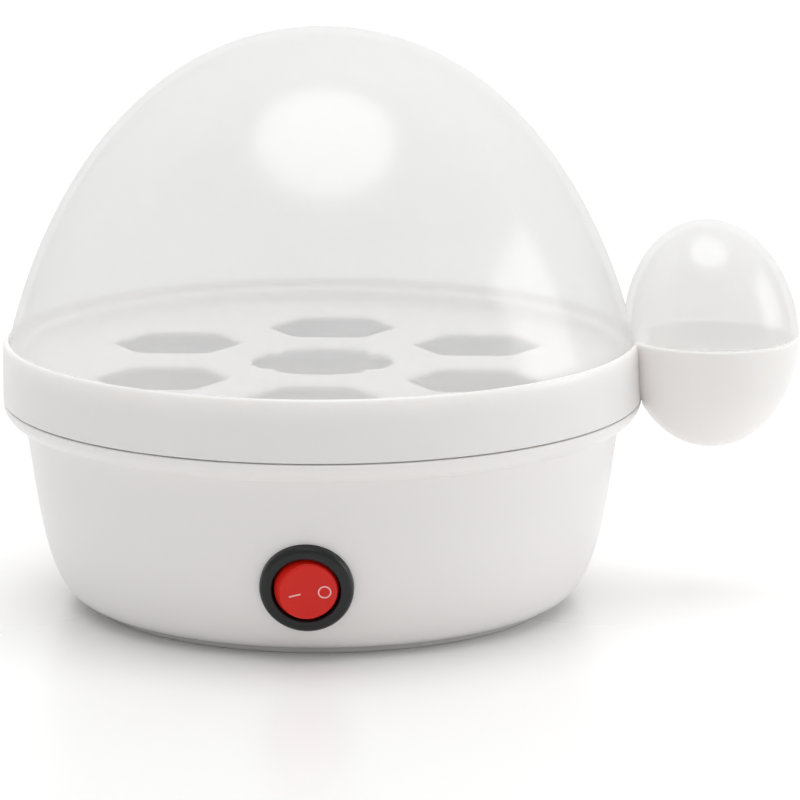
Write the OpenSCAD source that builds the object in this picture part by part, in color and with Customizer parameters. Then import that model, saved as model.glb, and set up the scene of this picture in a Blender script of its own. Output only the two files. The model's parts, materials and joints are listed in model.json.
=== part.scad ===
// Egg cooker for seven eggs: a heated base, a lift-off egg tray with a cup at its side, and a
// clear lid with a pod over the cup. Millimetres. The origin is on the main axis, on the surface
// that the cooker stands on. +Z is up, the switch faces -Y and the cup is towards +X.

/* [Base] */
// Height of the base, from the table to the seam under the tray
base_h = 56; // [55:0.5:58]
// Outer radius of the flange around the top of the base
flange_r = 87.5; // [87:0.1:89]
// Outer radius just under the flange
neck_r = 81.7; // [81:0.1:82]
// Outer radius of the foot ring
foot_r = 64.3; // [63:0.1:65]
// Wall of the housing
wall = 2.5; // [2:0.1:3]
// Height of the underside of the basin floor
floor_z = 34.5; // [34:0.5:36]

/* [Tray] */
// Height of the band around the tray
ring_h = 17; // [16:0.5:19]
// Depth of the tray's disc below the top of its band
disc_drop = 7.3; // [6:0.1:8]
// Radius of the circle of six outer egg holes
pitch_r = 48.5; // [47:0.5:49]
// Distance across the flats of an outer egg hole
hole_flats = 32.6; // [30:0.2:34]
// Radius of the centre egg hole
centre_hole_r = 19.4; // [17:0.2:20]

/* [Side cup] */
// Distance from the main axis to the cup's axis
cup_x = 106.4; // [105:0.2:108]
// Outer radius of the cup and of the pod over it
cup_r = 23.9; // [22.5:0.1:24.5]
// Outer depth of the cup
cup_deep = 30.6; // [28:0.2:32]

/* [Lid] */
// Outer radius of the lid's lower edge
lid_r = 85.3; // [84.5:0.1:85.3]
// Height of the lid above the tray's band
lid_h = 84.1; // [75:0.1:90]
// Wall of the lid and of the pod
lid_wall = 2; // [1.5:0.1:2.5]
// Height of the pod above the cup's rim
pod_h = 32; // [28:0.5:36]
// Lean of the pod towards the main axis, in degrees
pod_lean = 3; // [0:0.5:4]

/* [Switch] */
// Height of the switch's centre
switch_z = 21; // [20:0.2:21.4]
// Turn of the switch in its round hole, in degrees
switch_turn = 7; // [0:1:10]
// Outer radius of the bezel
bezel_r = 12.3; // [11.8:0.1:12.6]
// Radius of the bezel's opening
opening_r = 8.95; // [8.9:0.05:9.1]
// Angle between the rocker's two resting places, in degrees
rocker_throw = 22; // [16:1:24]

/* [Heater] */
// Outer radius of the heating plate's rim
plate_r = 54; // [53:0.5:56]
// Depth of the dish in the heating plate
dish_deep = 6; // [5:0.5:6.5]
// Radius of the ring that the heating tube follows
element_r = 33; // [32:0.5:34]
// Radius of the heating tube
tube_r = 3.2; // [2.5:0.1:3.3]

/* [Hidden] */

$fn = 96;
far = 200;               // longer than the whole cooker, for cutting tools
gap = 0.05;              // running gap between pieces that fit into each other
steps = 18;              // segments in each curved outline

// Heights
foot_t = 2.2;
cover_t = 2.2;
cover_top = foot_t + cover_t;
housing_foot_z = foot_t + 0.2;
flange_drop = 5.8;
neck_z = base_h - flange_drop;
floor_t = 3;
floor_top = floor_z + floor_t;
gasket_t = 1;
plate_t = 0.8;
dish_z = floor_top + gasket_t - dish_deep;   // underside of the dish
spreader_t = 1.2;
spreader_z = dish_z - spreader_t;
ring_z = base_h + 0.05;                      // underside of the tray's band
ring_top = base_h + ring_h;
disc_t = 2;
disc_top = ring_top - disc_drop;
disc_z = disc_top - disc_t;
cup_top = ring_top + 0.3;
pod_z = cup_top + 0.3;
lid_z = ring_top - 2.6;                      // lower edge of the lid
ledge_z = lid_z - 0.1;                       // ledge in the tray that the lid rests on

// Radii
cover_r = 61.6;
seat_r = cover_r + 0.3;
hub_r = 49;                                  // hole in the basin floor
dish_r = 46.8;
spreader_r = 40;
boss_at = 55;
boss_r = 4;
pilot_r = 1.3;
screw_r = pilot_r - gap;

function bez(p0, p1, p2, p3, n) =
    [for (i = [0:n]) let (t = i / n, s = 1 - t)
        s^3 * p0 + 3 * s^2 * t * p1 + 3 * s * t^2 * p2 + t^3 * p3];
function ellipse(c, a, b, from, to, n) =
    [for (i = [0:n]) let (w = from + (to - from) * i / n) c + [a * cos(w), b * sin(w)]];
function reverse(l) = [for (i = [len(l) - 1:-1:0]) l[i]];
function unit(v) = v / norm(v);
// The outline moved sideways by d, to the left of its direction
function inset(l, d) =
    [for (i = [0:len(l) - 1]) let (
        a = l[max(i - 1, 0)], b = l[min(i + 1, len(l) - 1)], t = unit(b - a))
        l[i] + d * [-t[1], t[0]]];

module revolve(outline) rotate_extrude() polygon(outline);
module tube(r_in, r_out, z, h)
    translate([0, 0, z]) difference() {
        cylinder(r = r_out, h = h);
        translate([0, 0, -1]) cylinder(r = r_in, h = h + 2);
    }
module around(n, r, from = 0) for (i = [0:n - 1]) rotate(from + 360 * i / n) translate([r, 0, 0]) children();

// ---- Base housing -------------------------------------------------------------------------

// Outside of the belly, from the foot up to the neck
belly = bez([foot_r - 0.2, housing_foot_z], [77.4, -0.6], [neck_r - 2.8, neck_z - 13.5],
    [neck_r, neck_z], steps + 6);
belly_inside = inset(belly, wall);
flange_arc = ellipse([flange_r - 7.5, base_h], 7.5, flange_drop + 0.1, -76, -6, 12);

// A frame on the outside of the belly: +Z points straight out of the wall
function belly_r(z) = lookup(z, [for (p = belly) [p[1], p[0]]]);
function belly_tilt(z) = atan2(belly_r(z + 2) - belly_r(z - 2), 4);
module on_belly(turn, z)
    rotate(turn) translate([0, -belly_r(z), z]) rotate([90 + belly_tilt(z), 0, 0]) children();

housing_outline = concat(
    [[seat_r, housing_foot_z]], belly, flange_arc,
    [[flange_r - 0.4, base_h - 0.3], [flange_r - 1, base_h], [79.4, base_h], [79, base_h - 0.4]],
    reverse([for (p = belly_inside) if (p[1] > 5) p]), [[seat_r, 6.5]]);

module base_housing() color("white") difference() {
    revolve(housing_outline);
    on_belly(0, switch_z) {
        translate([0, 0, bezel_seat]) cylinder(r = bezel_r + 0.1, h = 20);
        translate([0, 0, -wall * 3]) cylinder(r = barrel_r + 0.1, h = 20);
    }
    on_belly(180, gland_z) {
        translate([0, 0, gland_seat]) cylinder(r = gland_r + 0.1, h = 20);
        translate([0, 0, -wall * 3]) cylinder(r = gland_neck_r + gap, h = 20);
    }
}
// The floor of the basin, which carries the heater, and the bosses that the cover is screwed to
module basin_deck() color("white") difference() {
    union() {
        tube(hub_r, belly_r(floor_z) - wall - 0.15, floor_z, floor_t);
        around(3, boss_at) translate([0, 0, cover_top + gap])
            cylinder(r = boss_r, h = floor_z - cover_top);
    }
    around(3, boss_at) translate([0, 0, cover_top - 1]) cylinder(r = pilot_r, h = 15);
    around(6, ring_screw_at, 30) translate([0, 0, floor_z - 1]) cylinder(r = pilot_r, h = 3.2);
}

// ---- Underside ----------------------------------------------------------------------------

foot_ring_w = 4.6;
head_r = 3.4;
module bottom_cover() color("whitesmoke") difference() {
    translate([0, 0, foot_t]) cylinder(r = cover_r, h = cover_t);
    around(3, boss_at) {
        translate([0, 0, foot_t - 1]) cylinder(r = pilot_r + 0.6, h = cover_t + 2);
        translate([0, 0, foot_t - 0.01]) cylinder(r1 = head_r + 0.15, r2 = pilot_r + 0.6, h = 1.7);
    }
    // louvres that let the bay breathe
    for (i = [-3:3]) translate([i * 6 - 1, -14, foot_t - 1]) cube([2, 28, cover_t + 2]);
}
module foot_ring() color("gainsboro") tube(foot_r - foot_ring_w, foot_r, 0, foot_t);
module cover_screws() color("silver") around(3, boss_at) translate([0, 0, foot_t + 0.1])
    difference() {
        union() {
            cylinder(r1 = head_r, r2 = screw_r, h = 1.6);
            cylinder(r = screw_r, h = 13);
        }
        for (a = [0, 90]) rotate(a) translate([-2, -0.35, -1]) cube([4, 0.7, 1.8]);
    }

// ---- Heater -------------------------------------------------------------------------------

rim_z = floor_top + gasket_t;
ring_screw_at = 57;
module heating_plate() color("lightsteelblue") revolve([
    [0, dish_z], [dish_r - 2, dish_z], [dish_r - 0.6, dish_z + 0.6], [dish_r, dish_z + 2],
    [dish_r, rim_z], [plate_r, rim_z], [plate_r, rim_z + plate_t], [dish_r - plate_t, rim_z + plate_t],
    [dish_r - plate_t, dish_z + 2], [dish_r - 2.2, dish_z + plate_t], [0, dish_z + plate_t]]);
module plate_gasket() color("dimgray") tube(hub_r, plate_r - 1, floor_top, gasket_t);
module retaining_ring() color("silver") difference() {
    revolve([[spreader_r + 1, dish_z - 1.2], [50, dish_z - 1.2], [51.5, floor_z - 1.2],
        [60.5, floor_z - 1.2], [60.5, floor_z], [50, floor_z], [48.5, dish_z], [spreader_r + 1, dish_z]]);
    around(6, ring_screw_at, 30) translate([0, 0, floor_z - 5]) cylinder(r = pilot_r + 0.3, h = 10);
    around(3, boss_at) translate([0, 0, floor_z - 5]) cylinder(r = boss_r + 0.4, h = 10);
}
module ring_screws() color("gray") around(6, ring_screw_at, 30) difference() {
    union() {
        translate([0, 0, floor_z - 2.8]) cylinder(r = 2.6, h = 1.6);
        translate([0, 0, floor_z - 2]) cylinder(r = screw_r, h = 4);
    }
    for (a = [0, 90]) rotate(a) translate([-1.6, -0.3, floor_z - 4]) cube([3.2, 0.6, 2]);
}
bracket_foot_y = 25;
stud_r = 1.5;
module heat_spreader() color("gainsboro") {
    tube(thermostat_r + 1, spreader_r, spreader_z, spreader_t);
    for (y = [-bracket_foot_y, bracket_foot_y])
        translate([0, y, spreader_z - 3.6]) cylinder(r = stud_r, h = 3.8);
}
element_z = spreader_z - tube_r;
element_span = 316;
pin_turn = 90 + (360 - element_span) / 2;
module heating_element() color("darkgray") rotate(pin_turn) translate([0, 0, element_z])
    rotate_extrude(angle = element_span) translate([element_r, 0]) circle(r = tube_r);
pin_r = 1.4;
module element_pins() color("silver") for (a = [pin_turn, pin_turn + element_span])
    rotate(a) translate([element_r, 0, element_z]) rotate([a == pin_turn ? 90 : -90, 0, 0]) {
        cylinder(r = pin_r, h = 7);
        translate([0, 0, 7]) linear_extrude(6) square([0.8, 5], center = true);
    }

thermostat_r = 8;
thermostat_z = dish_z - 10.5;
cap_h = 3.4;
module thermostat_cap() color("silver")
    translate([0, 0, dish_z - cap_h]) cylinder(r = thermostat_r, h = cap_h);
module thermostat_body() color("dimgray")
    translate([0, 0, thermostat_z]) cylinder(r = thermostat_r, h = dish_z - cap_h - thermostat_z);
tab_z = thermostat_z + 1.6;
module thermostat_tabs() color("silver") for (s = [-1, 1])
    translate([s * (thermostat_r + 5.5) - 5.5, -3.15, tab_z]) cube([11, 6.3, 0.8]);
strip_w = 8;
strip_t = 1;
leg_y = 21;
module thermostat_bracket() color("silver") difference() {
    union() {
        translate([-strip_w / 2, -leg_y, thermostat_z - strip_t]) cube([strip_w, 2 * leg_y, strip_t]);
        for (s = [0, 180]) rotate(s) {
            translate([-strip_w / 2, leg_y - strip_t, thermostat_z - strip_t])
                cube([strip_w, strip_t, spreader_z - thermostat_z + strip_t]);
            translate([-strip_w / 2, leg_y - strip_t, spreader_z - strip_t])
                cube([strip_w, 8, strip_t]);
        }
    }
    for (y = [-bracket_foot_y, bracket_foot_y])
        translate([0, y, spreader_z - 5]) cylinder(r = stud_r + gap, h = 10);
}
module bracket_nuts() color("gray") for (y = [-bracket_foot_y, bracket_foot_y])
    translate([0, y, spreader_z - strip_t - 2.2]) difference() {
        cylinder(r = 3, h = 2.2, $fn = 6);
        translate([0, 0, -1]) cylinder(r = stud_r + gap, h = 5);
    }

fuse_r = 2;
fuse_at = [0, 15, spreader_z - fuse_r - 0.8];
module thermal_fuse() color("goldenrod") translate(fuse_at) rotate([0, 90, 0]) {
    cylinder(r = fuse_r, h = 12, center = true);
    cylinder(r = 0.6, h = 30, center = true);
}
module fuse_clip() color("silver") translate(fuse_at) rotate([0, 90, 0]) difference() {
    union() {
        cylinder(r = fuse_r + 0.8, h = 5, center = true);
        translate([-fuse_r - 0.8, -fuse_r - 0.8, -2.5]) cube([2, 2 * fuse_r + 1.6, 5]);
    }
    cylinder(r = fuse_r + gap, h = 8, center = true);
}

// ---- Mains connections --------------------------------------------------------------------

gland_z = 18;
gland_seat = -0.8;
gland_r = 6.5;
gland_neck_r = 4.6;
gland_bore_r = 3.4;
module cord_gland() color("gainsboro") on_belly(180, gland_z) difference() {
    rotate_extrude() polygon([
        [gland_bore_r + 0.5, 3.6], [gland_bore_r, 3.1], [gland_bore_r, -6.4], [gland_r - 0.8, -6.4],
        [gland_r - 0.8, -4.6], [gland_neck_r, -4.2], [gland_neck_r, gland_seat],
        [gland_r, gland_seat], [gland_r, 1.2], [gland_r - 0.8, 2], [gland_bore_r + 1.6, 2.4],
        [gland_bore_r + 1.4, 3.6]]);
}
block_at = [6, 41, cover_top];
block_size = [26, 12, 11];
module terminal_block() color("ivory") translate(block_at) difference() {
    cube(block_size);
    for (i = [0, 1]) {
        translate([6.5 + 13 * i, 6, 4]) cylinder(r = 2.4, h = 20);
        translate([6.5 + 13 * i, -1, 5]) rotate([-90, 0, 0]) cylinder(r = 1.7, h = 20);
    }
    translate([12.6, -1, 6]) cube([0.8, 20, 20]);
}
module terminal_screws() color("silver") translate(block_at) for (i = [0, 1])
    translate([6.5 + 13 * i, 6, 6.8]) difference() {
        cylinder(r = 2.3, h = 3.4);
        translate([-3, -0.4, 2.4]) cube([6, 0.8, 3]);
    }

// ---- Switch -------------------------------------------------------------------------------
// Local frame: origin on the wall's outside, +X right, +Y up the wall, +Z outwards

bezel_seat = -1;
bezel_t = 1.9;
barrel_r = 9.75;
barrel_deep = 15;
cavity_deep = 7;
pivot_n = -1;            // depth of the rocker's axis
swing_r = 8.7;           // reach of the rocker's ends from that axis
pivot_r = 1.2;
module at_switch() on_belly(0, switch_z) rotate(switch_turn) children();
module along_pivot() translate([0, 0, pivot_n]) rotate([90, 0, 0]) children();

module switch_housing() color([0.1, 0.1, 0.1]) at_switch() difference() {
    union() {
        rotate_extrude() polygon(concat(
            [[0, bezel_seat], [bezel_r, bezel_seat]],
            ellipse([bezel_r - 1.6, 0.2], 1.6, bezel_t - 0.2, 0, 90, 6),
            [[0, bezel_t]]));
        translate([0, 0, -barrel_deep]) cylinder(r = barrel_r, h = barrel_deep);
    }
    translate([0, 0, -cavity_deep]) cylinder(r = opening_r, h = 20);
    translate([0, 0, bezel_t - 0.5]) cylinder(r1 = opening_r, r2 = opening_r + 0.6, h = 0.51);
    along_pivot() cylinder(r = pivot_r + gap, h = 2 * barrel_r - 0.2, center = true);
    translate([0, 0, -barrel_deep]) for (x = [-4.5, 0, 4.5])
        translate([x - 0.45, -2.45, -1]) cube([0.9, 4.9, 5]);
}
module switch_tabs() color("silver") at_switch() for (x = [-4.5, 0, 4.5])
    translate([x - 0.4, -2.4, -barrel_deep - 7]) cube([0.8, 4.8, 10]);
module switch_contact() color("goldenrod") at_switch() {
    translate([-5.5, -1.5, -cavity_deep]) cube([11, 3, 0.5]);
    translate([0, 0, -cavity_deep + 0.5]) cylinder(r = 1, h = 0.8);
}

module rocker_frame() at_switch() along_pivot() rotate([-90, 0, 0]) rotate([0, rocker_throw / 2, 0])
    translate([0, 0, -pivot_n]) children();
face_n = 2.5;            // height of the middle of the rocker's face, at mid travel
dish_radius = 40;        // curve of the face
module face_tool(d) translate([0, 0, face_n + dish_radius - d]) rotate([90, 0, 0])
    cylinder(r = dish_radius, h = 40, center = true);
module rocker_blank() intersection() {
    translate([0, 0, -3.2]) cylinder(r1 = 8.35, r2 = 7.9, h = 8.2);
    along_pivot() cylinder(r = swing_r, h = 40, center = true);
}
module switch_rocker() color([0.8, 0.12, 0.08]) rocker_frame() {
    difference() {
        rocker_blank();
        face_tool(0);
        translate([0, 0, -5]) cylinder(r = 6, h = 5.4);
    }
    for (s = [0, 180]) rotate(s) translate([0, -7.6, pivot_n]) rotate([90, 0, 0])
        cylinder(r = pivot_r, h = 1.9);
}
// The line and the ring that mark on and off, as a thin print on the face
print_t = 0.12;
module rocker_marks() color([1, 0.75, 0.7]) rocker_frame() intersection() {
    difference() {
        face_tool(0);
        face_tool(-print_t);
    }
    union() {
        translate([-3.7, -0.7, 0]) linear_extrude(10) square([3.2, 0.55], center = true);
        translate([4.1, -0.3, 0]) linear_extrude(10) difference() {
            circle(r = 1.85);
            circle(r = 1.4);
        }
    }
}
module rocker_lamp() color("orange") rocker_frame() translate([0, 0, -1.2]) rotate([90, 0, 0]) {
    cylinder(r = 1.5, h = 7, center = true);
}

// ---- Wires --------------------------------------------------------------------------------

wire_r = 1.1;
wire_sides = 8;
function spline(p, n) = [for (i = [0:len(p) - 2]) each [for (k = [0:n - 1]) let (
    t = k / n, a = p[max(i - 1, 0)], b = p[i], c = p[i + 1], d = p[min(i + 2, len(p) - 1)])
    0.5 * (2 * b + (c - a) * t + (2 * a - 5 * b + 4 * c - d) * t^2 + (3 * b - a - 3 * c + d) * t^3)],
    p[len(p) - 1]];
module wire(route) {
    p = spline(route, 4);
    n = len(p);
    rings = [for (i = [0:n - 1]) let (
        t = unit(p[min(i + 1, n - 1)] - p[max(i - 1, 0)]),
        u = unit(cross(t, [0.31, 0.17, 0.93])), v = cross(t, u))
        for (k = [0:wire_sides - 1]) let (w = 360 * k / wire_sides)
            p[i] + wire_r * (cos(w) * u + sin(w) * v)];
    sides = [for (i = [0:n - 2], k = [0:wire_sides - 1]) let (
        a = i * wire_sides + k, b = i * wire_sides + (k + 1) % wire_sides)
        [a, b, b + wire_sides, a + wire_sides]];
    start = [for (k = [wire_sides - 1:-1:0]) k];
    end = [for (k = [0:wire_sides - 1]) (n - 1) * wire_sides + k];
    polyhedron(rings, concat([start], sides, [end]), convexity = 6);
}
module live_wire() color("brown") wire([[25.5, 39.5, 9.5], [30, 25, 9], [34, 0, 8],
    [28, -25, 9], [15, -41, 14], [7, -49.5, 23], [4.5, -53.6, 25.2]]);
module switched_wire() color("brown") wire([[-4.5, -53.6, 25.2], [-6.5, -49.5, 22.5], [-13, -41, 16],
    [-22, -24, 13], [-27, -6, 17], [-20.5, 0, 22.2]]);
module fuse_wire() color("red") wire([[20, 0, 24.1], [24, 4, 24.6], [25.4, 9, 26], [21.5, 14, 28],
    [15.2, 15, 28.5]]);
module neutral_wire() color("royalblue") wire([[12.5, 39.5, 9.5], [11, 34, 12], [8, 29, 17],
    [7, 27, 23]]);

// ---- Tray ---------------------------------------------------------------------------------

lip_r = lid_r + 0.35;    // inside of the lip around the lid
lip_mid = lip_r + 0.6;
lip_round = 2.4;         // how far down the lip's outer edge is rounded
skirt_r = 78.2;
tray_outline = concat(
    [[0, disc_z], [skirt_r - 1.8, disc_z], [skirt_r - 1.8, 50.6], [skirt_r - 1.2, 50],
        [skirt_r - 0.4, 50], [skirt_r, 50.8], [skirt_r, disc_z], [81, disc_z], [83.2, disc_z + 2.2],
        [83.2, ledge_z - 2], [85.4, ledge_z - 2], [85.4, ring_z], [flange_r - 1.1, ring_z],
        [flange_r - 1.1, ring_z + 0.45], [flange_r - 0.4, ring_z + 0.45],
        [flange_r, ring_z + 0.9]],
    ellipse([lip_mid, ring_top - lip_round], flange_r - 0.1 - lip_mid, lip_round, 0, 90, 6),
    ellipse([lip_mid, ring_top - 0.8], lip_mid - lip_r, 0.8, 100, 180, 4),
    [[lip_r, ledge_z], [82, ledge_z], [81.2, ledge_z - 0.6]],
    ellipse([78.6, disc_top + 2.6], 2.6, 2.6, 0, -90, 6),
    [[0, disc_top]]);

cup_wall = 2;
// Where the cup stops: at the band, and clear of the base below the band
module cup_room() {
    translate([0, 0, ring_z + 0.45]) cylinder(r = flange_r - 0.9, h = far);
    cylinder(r = flange_r + 0.4, h = ring_z + 0.45);
}
module half_egg(r, h, n) revolve(concat([[0, 0]], ellipse([0, 0], r, h, 0, -90, n)));
module egg_hole() intersection() {
    cylinder(r = hole_flats / 2 / cos(30), h = 10, $fn = 6);
    cylinder(r = hole_flats / 2 / cos(30) - 0.5, h = 10);
}
module centre_hole() difference() {
    cylinder(r = centre_hole_r, h = 10);
    around(4, centre_hole_r + 0.4, 45) cylinder(r = 3, h = 10);
}
module egg_tray() color("white") difference() {
    union() {
        revolve(tray_outline);
        difference() {
            translate([cup_x, 0, cup_top]) half_egg(cup_r, cup_deep, steps);
            cup_room();
        }
    }
    difference() {
        translate([cup_x, 0, cup_top]) half_egg(cup_r - cup_wall, cup_deep - cup_wall, steps);
        cylinder(r = flange_r + 1.9, h = far);
    }
    translate([0, 0, disc_z - 4]) {
        centre_hole();
        around(6, pitch_r, 30) rotate(-30) egg_hole();
    }
}

// ---- Lid ----------------------------------------------------------------------------------

dome = bez([lid_r, ring_top], [lid_r - 9.6, ring_top + 39.5], [48.2, ring_top + lid_h],
    [0, ring_top + lid_h], steps + 8);
dome_inside = concat([for (p = inset(dome, lid_wall)) if (p[0] > 1) p],
    [[0, ring_top + lid_h - lid_wall]]);
function dome_solid(curve) = concat([[0, lid_z], [curve[0][0], lid_z]], curve);
module pod(inner) intersection() {
    translate([cup_x, 0, cup_top]) rotate([0, -pod_lean, 0]) revolve(concat([[0, -4]],
        ellipse([0, 0], cup_r - inner, pod_h - inner, -7, 90, steps)));
    translate([0, -far / 2, pod_z]) cube(far);
}
module lid() color("aliceblue", 0.4) difference() {
    union() {
        revolve(dome_solid(dome));
        pod(0);
    }
    translate([0, 0, -0.01]) revolve(dome_solid(dome_inside));
    pod(lid_wall);
}

base_housing();
basin_deck();
bottom_cover();
foot_ring();
cover_screws();
heating_plate();
plate_gasket();
retaining_ring();
ring_screws();
heat_spreader();
heating_element();
element_pins();
thermostat_cap();
thermostat_body();
thermostat_tabs();
thermostat_bracket();
bracket_nuts();
thermal_fuse();
fuse_clip();
terminal_block();
terminal_screws();
cord_gland();
switch_housing();
switch_tabs();
switch_contact();
switch_rocker();
rocker_marks();
rocker_lamp();
live_wire();
switched_wire();
fuse_wire();
neutral_wire();
egg_tray();
lid();
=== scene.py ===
"""Egg cooker: the finished surfaces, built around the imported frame.

Outlines are in millimetres, as (radius, height) or (x, y) points, and become metres when a mesh is made.
+Z is up, the switch faces -Y and the side cup is towards +X.
"""
import json
import math

import bmesh
import bpy
import numpy as np
from mathutils import Matrix, Vector


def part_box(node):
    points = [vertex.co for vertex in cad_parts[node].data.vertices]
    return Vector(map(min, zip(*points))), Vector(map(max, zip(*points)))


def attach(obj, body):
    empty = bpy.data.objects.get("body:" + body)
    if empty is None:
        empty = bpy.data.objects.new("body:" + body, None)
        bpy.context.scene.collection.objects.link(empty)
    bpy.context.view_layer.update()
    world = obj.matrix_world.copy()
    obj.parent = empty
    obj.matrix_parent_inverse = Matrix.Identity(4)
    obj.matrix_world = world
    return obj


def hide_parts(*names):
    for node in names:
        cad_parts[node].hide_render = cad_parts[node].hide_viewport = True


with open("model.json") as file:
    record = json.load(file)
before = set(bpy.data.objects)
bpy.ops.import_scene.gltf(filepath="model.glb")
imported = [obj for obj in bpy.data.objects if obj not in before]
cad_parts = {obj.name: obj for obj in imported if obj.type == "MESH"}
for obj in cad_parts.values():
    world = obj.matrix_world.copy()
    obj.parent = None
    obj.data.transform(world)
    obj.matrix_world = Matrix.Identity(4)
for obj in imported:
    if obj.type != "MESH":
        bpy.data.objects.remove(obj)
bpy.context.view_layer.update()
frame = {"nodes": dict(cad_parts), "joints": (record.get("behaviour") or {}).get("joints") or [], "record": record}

MM = 0.001
TURN = 192        # segments around the main axis
SMALL_TURN = 96   # segments around small round pieces
TOOL_TURN = 48    # segments around pins, screw holes and bosses
ROUND = 5         # segments in a rounded edge


# ---- Camera, lights and floor ----------------------------------------------------------------

def add_camera():
    """Looks slightly down at the front, from a little to the right."""
    azimuth, elevation, distance = math.radians(2.2), math.radians(12.1), 1.2
    target = Vector((0.0213, 0, 0.0546))
    away = Vector((math.sin(azimuth) * math.cos(elevation),
                   -math.cos(azimuth) * math.cos(elevation),
                   math.sin(elevation)))
    data = bpy.data.cameras.new("camera")
    data.sensor_width = 36
    data.lens = 196.5
    data.clip_end = 50
    camera = bpy.data.objects.new("camera", data)
    camera.location = target + distance * away
    camera.rotation_euler = away.to_track_quat("Z", "Y").to_euler()
    bpy.context.scene.collection.objects.link(camera)
    bpy.context.scene.camera = camera


def add_light(name, place, target, size, radiance, round_shape=False):
    """A soft box: radiance is how bright its face looks."""
    data = bpy.data.lights.new(name, "AREA")
    width, height = size
    data.shape = "ELLIPSE" if round_shape else "RECTANGLE"
    data.size, data.size_y = width, height
    area = width * height * (math.pi / 4 if round_shape else 1)
    data.energy = radiance * math.pi * area
    light = bpy.data.objects.new(name, data)
    light.location = place
    light.rotation_euler = (Vector(place) - Vector(target)).to_track_quat("Z", "Y").to_euler()
    bpy.context.scene.collection.objects.link(light)


def add_world():
    """A pale room, brightest behind the object and dim in front. Seen directly, it is white."""
    world = bpy.data.worlds.new("room")
    world.use_nodes = True
    bpy.context.scene.world = world
    tree = world.node_tree
    background = tree.nodes["Background"]
    background.inputs["Color"].default_value = (1, 1, 1, 1)
    split = add_node(tree, "ShaderNodeSeparateXYZ", {
        "Vector": add_node(tree, "ShaderNodeTexCoord").outputs["Generated"]}).outputs
    overhead = math_node(tree, "POWER", math_node(tree, "MAXIMUM", split["Z"], 0.0), 3.0)
    room = math_node(tree, "ADD", ramp(tree, overhead, (0, 1), (0.54, 0.68)),
                     ramp(tree, split["Y"], (0, 1), (0, 0.75)))
    seen = add_node(tree, "ShaderNodeLightPath").outputs["Is Camera Ray"]
    tree.links.new(add_node(tree, "ShaderNodeMix", {"Factor": seen, "A": room, "B": 1.0}).outputs[0],
                   background.inputs["Strength"])


def add_floor():
    """A white sheet with a soft sheen, 12 m on a side."""
    half = 6000
    corners = [(half, -half, 0), (half, half, 0), (-half, half, 0), (-half, -half, 0)]
    floor = make_piece("floor", corners, [(0, 1, 2, 3)])
    mat, tree, bsdf = new_material("floor")
    coords = add_node(tree, "ShaderNodeTexCoord").outputs["Object"]
    cloud = noise(tree, coords, 3, 2)
    link_in(tree, bsdf, "Base Color", blend_colours(tree, cloud, (0.905, 0.905, 0.9), (0.925, 0.925, 0.92)))
    link_in(tree, bsdf, "Roughness", ramp(tree, cloud, (0.3, 0.7), (0.24, 0.3)))
    bsdf.inputs["Specular IOR Level"].default_value = 0.22
    floor.data.materials.append(mat)


# ---- Node materials --------------------------------------------------------------------------

def add_node(tree, kind, inputs=None, **settings):
    """A node with its inputs either set or, where the value is another node's output, linked."""
    node = tree.nodes.new(kind)
    for key, value in settings.items():
        setattr(node, key, value)
    for key, value in (inputs or {}).items():
        if isinstance(value, bpy.types.NodeSocket):
            tree.links.new(value, node.inputs[key])
        else:
            node.inputs[key].default_value = value
    return node


def link_in(tree, node, key, value):
    tree.links.new(value, node.inputs[key])


def noise(tree, coords, scale, detail=2, roughness=0.5):
    return add_node(tree, "ShaderNodeTexNoise", {
        "Vector": coords, "Scale": scale, "Detail": detail, "Roughness": roughness}).outputs[0]


def ramp(tree, value, given, wanted):
    """The value, carried from one range to another and held at its ends."""
    return add_node(tree, "ShaderNodeMapRange", {
        "Value": value, "From Min": given[0], "From Max": given[1],
        "To Min": wanted[0], "To Max": wanted[1]}).outputs[0]


def math_node(tree, operation, a, b=0.0):
    return add_node(tree, "ShaderNodeMath", {0: a, 1: b}, operation=operation).outputs[0]


def blend_colours(tree, factor, first, second):
    node = add_node(tree, "ShaderNodeMix", {"Factor": factor}, data_type="RGBA")
    node.inputs[6].default_value = (*first, 1)
    node.inputs[7].default_value = (*second, 1)
    return node.outputs[2]


def bump(tree, height, strength, distance, under=None):
    inputs = {"Height": height, "Strength": strength, "Distance": distance}
    if under is not None:
        inputs["Normal"] = under
    return add_node(tree, "ShaderNodeBump", inputs).outputs[0]


def new_material(name):
    mat = bpy.data.materials.new(name)
    mat.use_nodes = True
    return mat, mat.node_tree, mat.node_tree.nodes["Principled BSDF"]


def shade(colour, factor):
    return tuple(min(1.0, c * factor) for c in colour)


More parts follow.
